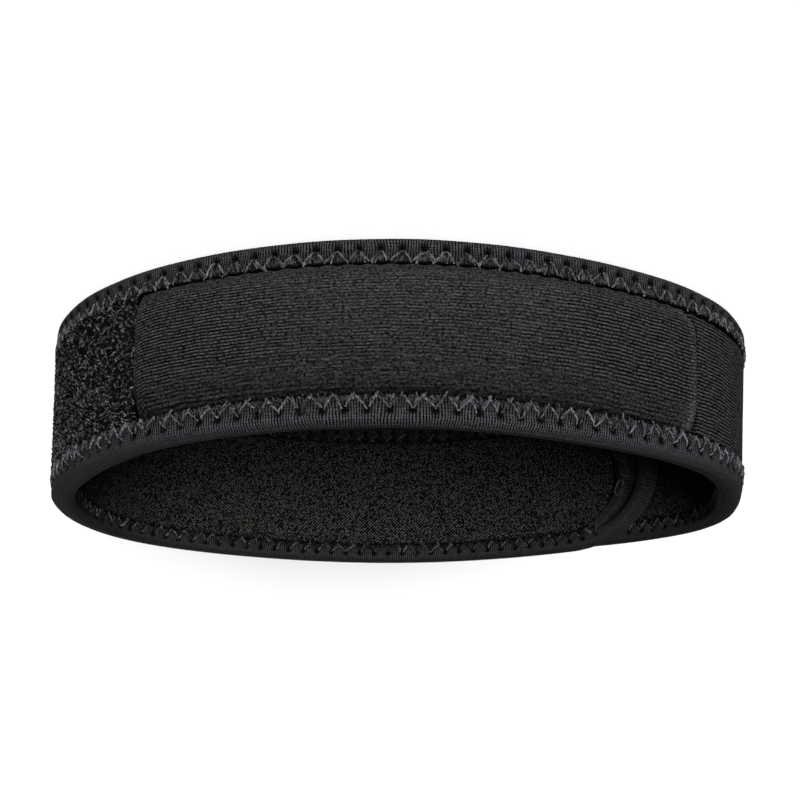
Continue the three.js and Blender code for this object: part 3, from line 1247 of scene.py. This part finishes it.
@dataclass
class PileLoops:
    """The loops that stand on the pile panel where it shows."""

    loop: StrapLoop
    panel: Panel
    rows: int = 42
    columns: int = 170
    span: float = 0.9
    rise: float = 0.42
    sunk: float = 0.6
    past_overlap: float = 3.0
    thread: float = 0.15
    seed: int = 11

    def build(self) -> Piece:
        """Strews arches: each runs half a turn over the ground, at a random heading and tilt.

        Returns:
            The new object.
        """
        rng = np.random.default_rng(self.seed)
        lam = self.loop.laminate
        half = self.loop.middle - self.panel.rim_inset + 0.1
        overlap = self.loop.along(self.loop.inner_tip_bearing + 360 - self.loop.overlap_turn)
        count = self.rows * self.columns
        column, row = np.divmod(np.arange(count), self.rows)
        first = self.panel.start + 1.0
        run = overlap + self.past_overlap - first
        along = first + (column + rng.uniform(0, 1.6, count)) * run / self.columns
        height = self.loop.middle + half * ((row + rng.uniform(0, 1, count)) * 2 / self.rows - 1)
        heading = rng.uniform(0, 2 * np.pi, count)
        size = rng.uniform(0.6, 1.3, count)[:, None]
        tilt = rng.normal(0, 0.35, (2, count, 1))
        t = np.linspace(0, 1, 5)
        sweep = -np.cos(np.pi * t) * self.span / 2 * size
        up = np.sin(np.pi * t) * self.rise * size
        a = along[:, None] + sweep * np.cos(heading)[:, None] + tilt[0] * up
        h = height[:, None] + sweep * np.sin(heading)[:, None] + tilt[1] * up
        h = np.clip(h, self.loop.middle - half, self.loop.middle + half)
        lines = self.loop.wall(a, h, lam.bed + lam.pile - self.sunk + up)
        radius = self.thread * rng.uniform(0.6, 1.2, count) * MM
        # Painted shade and tone: each pile loop is darkened by a random amount.
        return strands("pile_loops", lines, radius, rng.uniform(0.08, 1.2, count), sides=3)


@dataclass
class Strap:
    """The whole strap: makes each sub-assembly on the shared loop and dresses it."""

    loop: StrapLoop
    hook_stop: float = 48.0
    wave_lengths: tuple[float, ...] = (9.0, 14.0, 23.0, 41.0)
    seed: int = 3

    def ripple(self, along: Array, height: Array, size: float) -> Array:
        """Soft unevenness of hand-sewn cloth, as a sum of slanting waves.

        Args:
            along: Distance along the strap.
            height: Height over the lower rim.
            size: Largest rise in millimetres.

        Returns:
            The rise.
        """
        rng = np.random.default_rng(self.seed)
        total = np.zeros(np.shape(along))
        for length in self.wave_lengths:
            slant, phase = rng.uniform(-0.25, 0.25), rng.uniform(0, 2 * np.pi)
            total = total + np.sin(2 * np.pi * (along + slant * height) / length + phase)
        return size * total / len(self.wave_lengths)

    def core(self) -> None:
        """Foamed rubber band inside the fabrics."""
        loop, lam = self.loop, self.loop.laminate
        inset = lam.tape + lam.gap
        panel = Panel(loop, Face.OUTER, None, None, inset, inset, -lam.core / 2, step=3.0, rows=9)
        piece = panel.build("core_band", level(lam.core / 2))
        dress(piece, NEOPRENE.material(), "neoprene", "strap_core")

    def binding(self) -> None:
        """Ribbed tape and its zigzag."""
        rim = Rim(self.loop)
        binding = Binding(self.loop, rim)
        dress(binding.build(), TAPE.material(), "binding_tape", "edge_binding")
        thread = THREAD.material()
        for face, name in ((Face.OUTER, "outer_stitching"), (Face.INNER, "inner_stitching")):
            dress(Stitching(self.loop, binding, face).build(name), thread, "binding_tape")
        dress(EndLoops(self.loop, binding).build(), thread, "binding_tape")

    def pile(self, pad: Pad) -> None:
        """Loop pile from the pad's edge to the inner end.

        Args:
            pad: The front pad, whose edge the sheet meets.
        """
        loop, lam = self.loop, self.loop.laminate
        inset, start = lam.outer_inset, pad.stop + lam.gap
        panel = Panel(loop, Face.OUTER, start, None, inset, inset, lam.bed, step=0.9, rows=40)

        def ground(along: Array, height: Array, v: Array) -> Array:
            """Lumpy ground under the loops.

            Args:
                along: Distance along the strap.
                height: Height over the lower rim.
                v: Share of the sheet's height, from -1 to 1.

            Returns:
                The distance outwards from mid-thickness.
            """
            long_lumps = self.ripple(along * 6.1, height * 9.0, 0.12)
            cross_lumps = self.ripple(height * 7.3, along * 5.0, 0.1)
            edge = 0.3 * ease(0.9, 1.0, np.abs(v))
            return lam.bed + lam.pile - 0.5 + (long_lumps + cross_lumps) - edge

        def shadow(along: Array, height: Array, v: Array) -> Array:
            """Dark corner beside the pad's end."""
            return ease(2.2, 1.0, along - panel.start)

        piece = panel.build("pile_ground", ground, shadow)
        dress(piece, PILE_GROUND.material(), "loop_pile", "pile_panel")
        dress(PileLoops(loop, panel).build(), PILE_YARN.material(), "loop_pile")

    def cover(self, pad: Pad) -> None:
        """Knit over the pad and on to the outer end, with its ribs in the mesh.

        Args:
            pad: The front pad.
        """
        loop, lam = self.loop, self.loop.laminate
        inset = lam.outer_inset
        # Rings stand closer beside the pad's edge and just past its step.
        fine = (pad.stop, pad.start + pad.lip + 0.3)
        panel = Panel(
            loop, Face.OUTER, None, pad.stop, inset, inset, lam.bed, step=1.3, rows=208, fine=fine
        )

        def wander(along: Array, height: Array) -> Array:
            """How far a rib strays from its own height."""
            return self.ripple(along * 2.3, height * 5.0, 0.16)

        def depth(along: Array, height: Array, v: Array) -> Array:
            """Flat knit, the pad's rise, ribs and a tucked edge.

            Args:
                along: Distance along the strap.
                height: Height over the lower rim.
                v: Share of the sheet's height, from -1 to 1.

            Returns:
                The distance outwards from mid-thickness.
            """
            wave = pad.ribs(along, height + wander(along, height))
            ribs = pad.rib_height * pad.rib_strength(along, v) * wave
            relief = ribs - pad.valley_depth * pad.dip(along, v)
            tuck = 0.95 * ease(0.9, 0.0, panel.from_edge(height, v))
            flat = lam.bed + lam.knit
            return flat + pad.height(along, v) + relief + self.ripple(along, height, 0.08) - tuck

        def painted_shade_and_tone(along: Array, height: Array, v: Array) -> Array:
            """Painted shade in the valleys between the ribs and beside the pad's step, a painted
            highlight on its ridge, painted shade over the knit, most on the padded middle and towards the
            upper rim, and random tone.

            Args:
                along: Distance along the strap.
                height: Height over the lower rim.
                v: Share of the sheet's height, from -1 to 1.

            Returns:
                The darkness, which the mesh holds between 0 and 1.
            """
            strength = pad.rib_strength(along, v)
            yarn = np.random.default_rng(self.seed).normal(0, 0.13, along.shape)
            padded = ease(pad.start + 4, pad.start + 12, along)
            # Painted shade: heavier over the padded middle, and heavier still towards the upper rim.
            base_painted_shade = (0.55 + 0.17 * v) * padded + 0.3 * (1 - padded)
            ribs = pad.ribs(along, height + wander(along, height))
            # Painted shade in the valleys between the ribs, added to the shade above and the random tone
            # of the yarn.
            between = strength * (0.42 - 0.9 * ribs) + base_painted_shade * (1 - 0.65 * strength) + yarn
            ridge = bell(pad.past_lip(along, v) - 0.2, 1.0)
            # Painted shade in the valley beside the step, and a painted highlight on the step's ridge.
            return between + 0.9 * pad.dip(along, v) - 0.5 * ridge

        piece = panel.build("knit_pad_cover", depth, painted_shade_and_tone)
        dress(piece, KNIT.material(), "jersey_knit", "knit_cover")

    def insert(self, pad: Pad) -> None:
        """Foam insert under the cover.

        Args:
            pad: The front pad.
        """
        loop, lam = self.loop, self.loop.laminate
        inset = lam.outer_inset + pad.foam_inset
        start, stop = pad.start + pad.foam_start, pad.stop - pad.foam_stop
        panel = Panel(loop, Face.OUTER, start, stop, inset, inset, lam.bed, step=2.0, rows=17)
        share = (loop.middle - inset) / (loop.middle - lam.outer_inset)

        def depth(along: Array, height: Array, v: Array) -> Array:
            """The pad's rise, less the gap under the cover."""
            return lam.bed + pad.height(along, v * share) - lam.gap

        dress(panel.build("pad_foam", depth), FOAM.material(), "foam", "pad_insert")

    def lining(self) -> None:
        """Pique lining and the hidden hook patch, on the inner face."""
        loop, lam = self.loop, self.loop.laminate
        inset, end_inset = lam.inner_arm + lam.gap, lam.end_arm + lam.gap
        start = self.hook_stop + lam.gap
        panel = Panel(loop, Face.INNER, start, None, inset, end_inset, lam.bed, step=1.5, rows=49)

        def depth(along: Array, height: Array, v: Array) -> Array:
            """Flat lining with soft waves and a tucked edge."""
            tuck = 0.5 * ease(0.9, 0.0, panel.from_edge(height, v))
            return lam.bed + lam.lining + self.ripple(along, height, 0.14) - tuck

        dress(panel.build("lining_cloth", depth), LINING.material(), "mesh_lining", "mesh_lining")
        patch = Panel(loop, Face.INNER, None, self.hook_stop, inset, inset, lam.bed, step=1.5, rows=25)
        piece = patch.build("hook_tape_patch", level(lam.bed + lam.hook))
        dress(piece, HOOKS.material(), "hook_tape", "hook_patch")

    def build(self) -> None:
        """Makes every sub-assembly in order."""
        pad = Pad(self.loop)
        self.core()
        self.binding()
        self.pile(pad)
        self.cover(pad)
        self.insert(pad)
        self.lining()


@dataclass(frozen=True)
class Lamp:
    """A far, large softbox, as an even light from one direction with a soft edge.

    Heading is measured from the camera's side towards +X, and all angles are in degrees.
    """

    name: str
    heading: float
    elevation: float
    softness: float
    strength: float

    def build(self) -> None:
        """Hangs the lamp, turned so that its own -Z points at the strap."""
        data = bpy.data.lights.new(self.name, "SUN")
        data.energy = self.strength
        data.angle = np.radians(self.softness)
        lamp = in_scene(self.name, data)
        lamp.rotation_euler = (np.radians(90 - self.elevation), 0.0, np.radians(self.heading))


@dataclass(frozen=True)
class Studio:
    """Pale floor, soft lamps and the camera.

    The photo looks up at the strap from 18.3 degrees under its mid-plane. Here the strap stands on
    the rim that is uppermost in the photo, so the same view comes from 18.3 degrees above, with the
    camera held upside down.
    """

    loop: StrapLoop
    elevation: float = 18.3
    distance: float = 280.0
    drop: float = 24.3
    focal: float = 58.4
    floor_half: float = 9000.0
    world_strength: float = 0.2

    def floor(self) -> None:
        """One large square on the ground, in near-white matt card."""
        half = self.floor_half * MM
        corners = np.array([[-half, -half, 0], [half, -half, 0], [half, half, 0], [-half, half, 0]])
        face = np.array([[0, 1, 2, 3]])
        piece = mesh_object("studio_floor", corners, [face], [np.zeros((1, 4, 2))])
        piece.data.materials.append(CARD.material())

    def world(self) -> None:
        """Even pale surroundings."""
        world = bpy.data.worlds.new("Pale surroundings")
        world.use_nodes = True
        shade = world.node_tree.nodes["Background"]
        shade.inputs["Color"].default_value = linear("#ffffff")
        shade.inputs["Strength"].default_value = self.world_strength
        bpy.context.scene.world = world

    def camera(self) -> None:
        """Camera at the photo's angle: image right is -X and image up points down and back."""
        angle = np.radians(self.elevation)
        forward = np.array([0.0, np.cos(angle), -np.sin(angle)])
        right = np.array([-1.0, 0.0, 0.0])
        up = np.cross(right, forward)
        aim = np.array([*self.loop.shift, self.loop.height - self.drop])
        data = bpy.data.cameras.new("Photo camera")
        data.lens = self.focal
        data.sensor_width = 36.0
        data.clip_start, data.clip_end = 0.01, 40.0
        camera = in_scene("Photo camera", data)
        turn = Matrix(np.stack([right, up, -forward], axis=1).tolist()).to_4x4()
        camera.matrix_world = Matrix.Translation(((aim - forward * self.distance) * MM).tolist()) @ turn
        bpy.context.scene.camera = camera

    def build(self) -> None:
        """Sets up the whole studio."""
        self.floor()
        self.world()
        Lamp("Front softbox", heading=-6, elevation=10, softness=24, strength=17.0).build()
        Lamp("Back fill", heading=170, elevation=9, softness=30, strength=0.7).build()
        self.camera()
        bpy.context.scene.view_settings.view_transform = "Standard"


def main() -> None:
    """Builds the strap and its studio."""
    logging.basicConfig(level=logging.INFO)
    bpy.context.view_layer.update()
    loop = StrapLoop()
    Strap(loop).build()
    Studio(loop).build()
    bpy.context.view_layer.update()


if __name__ == "__main__":
    main()
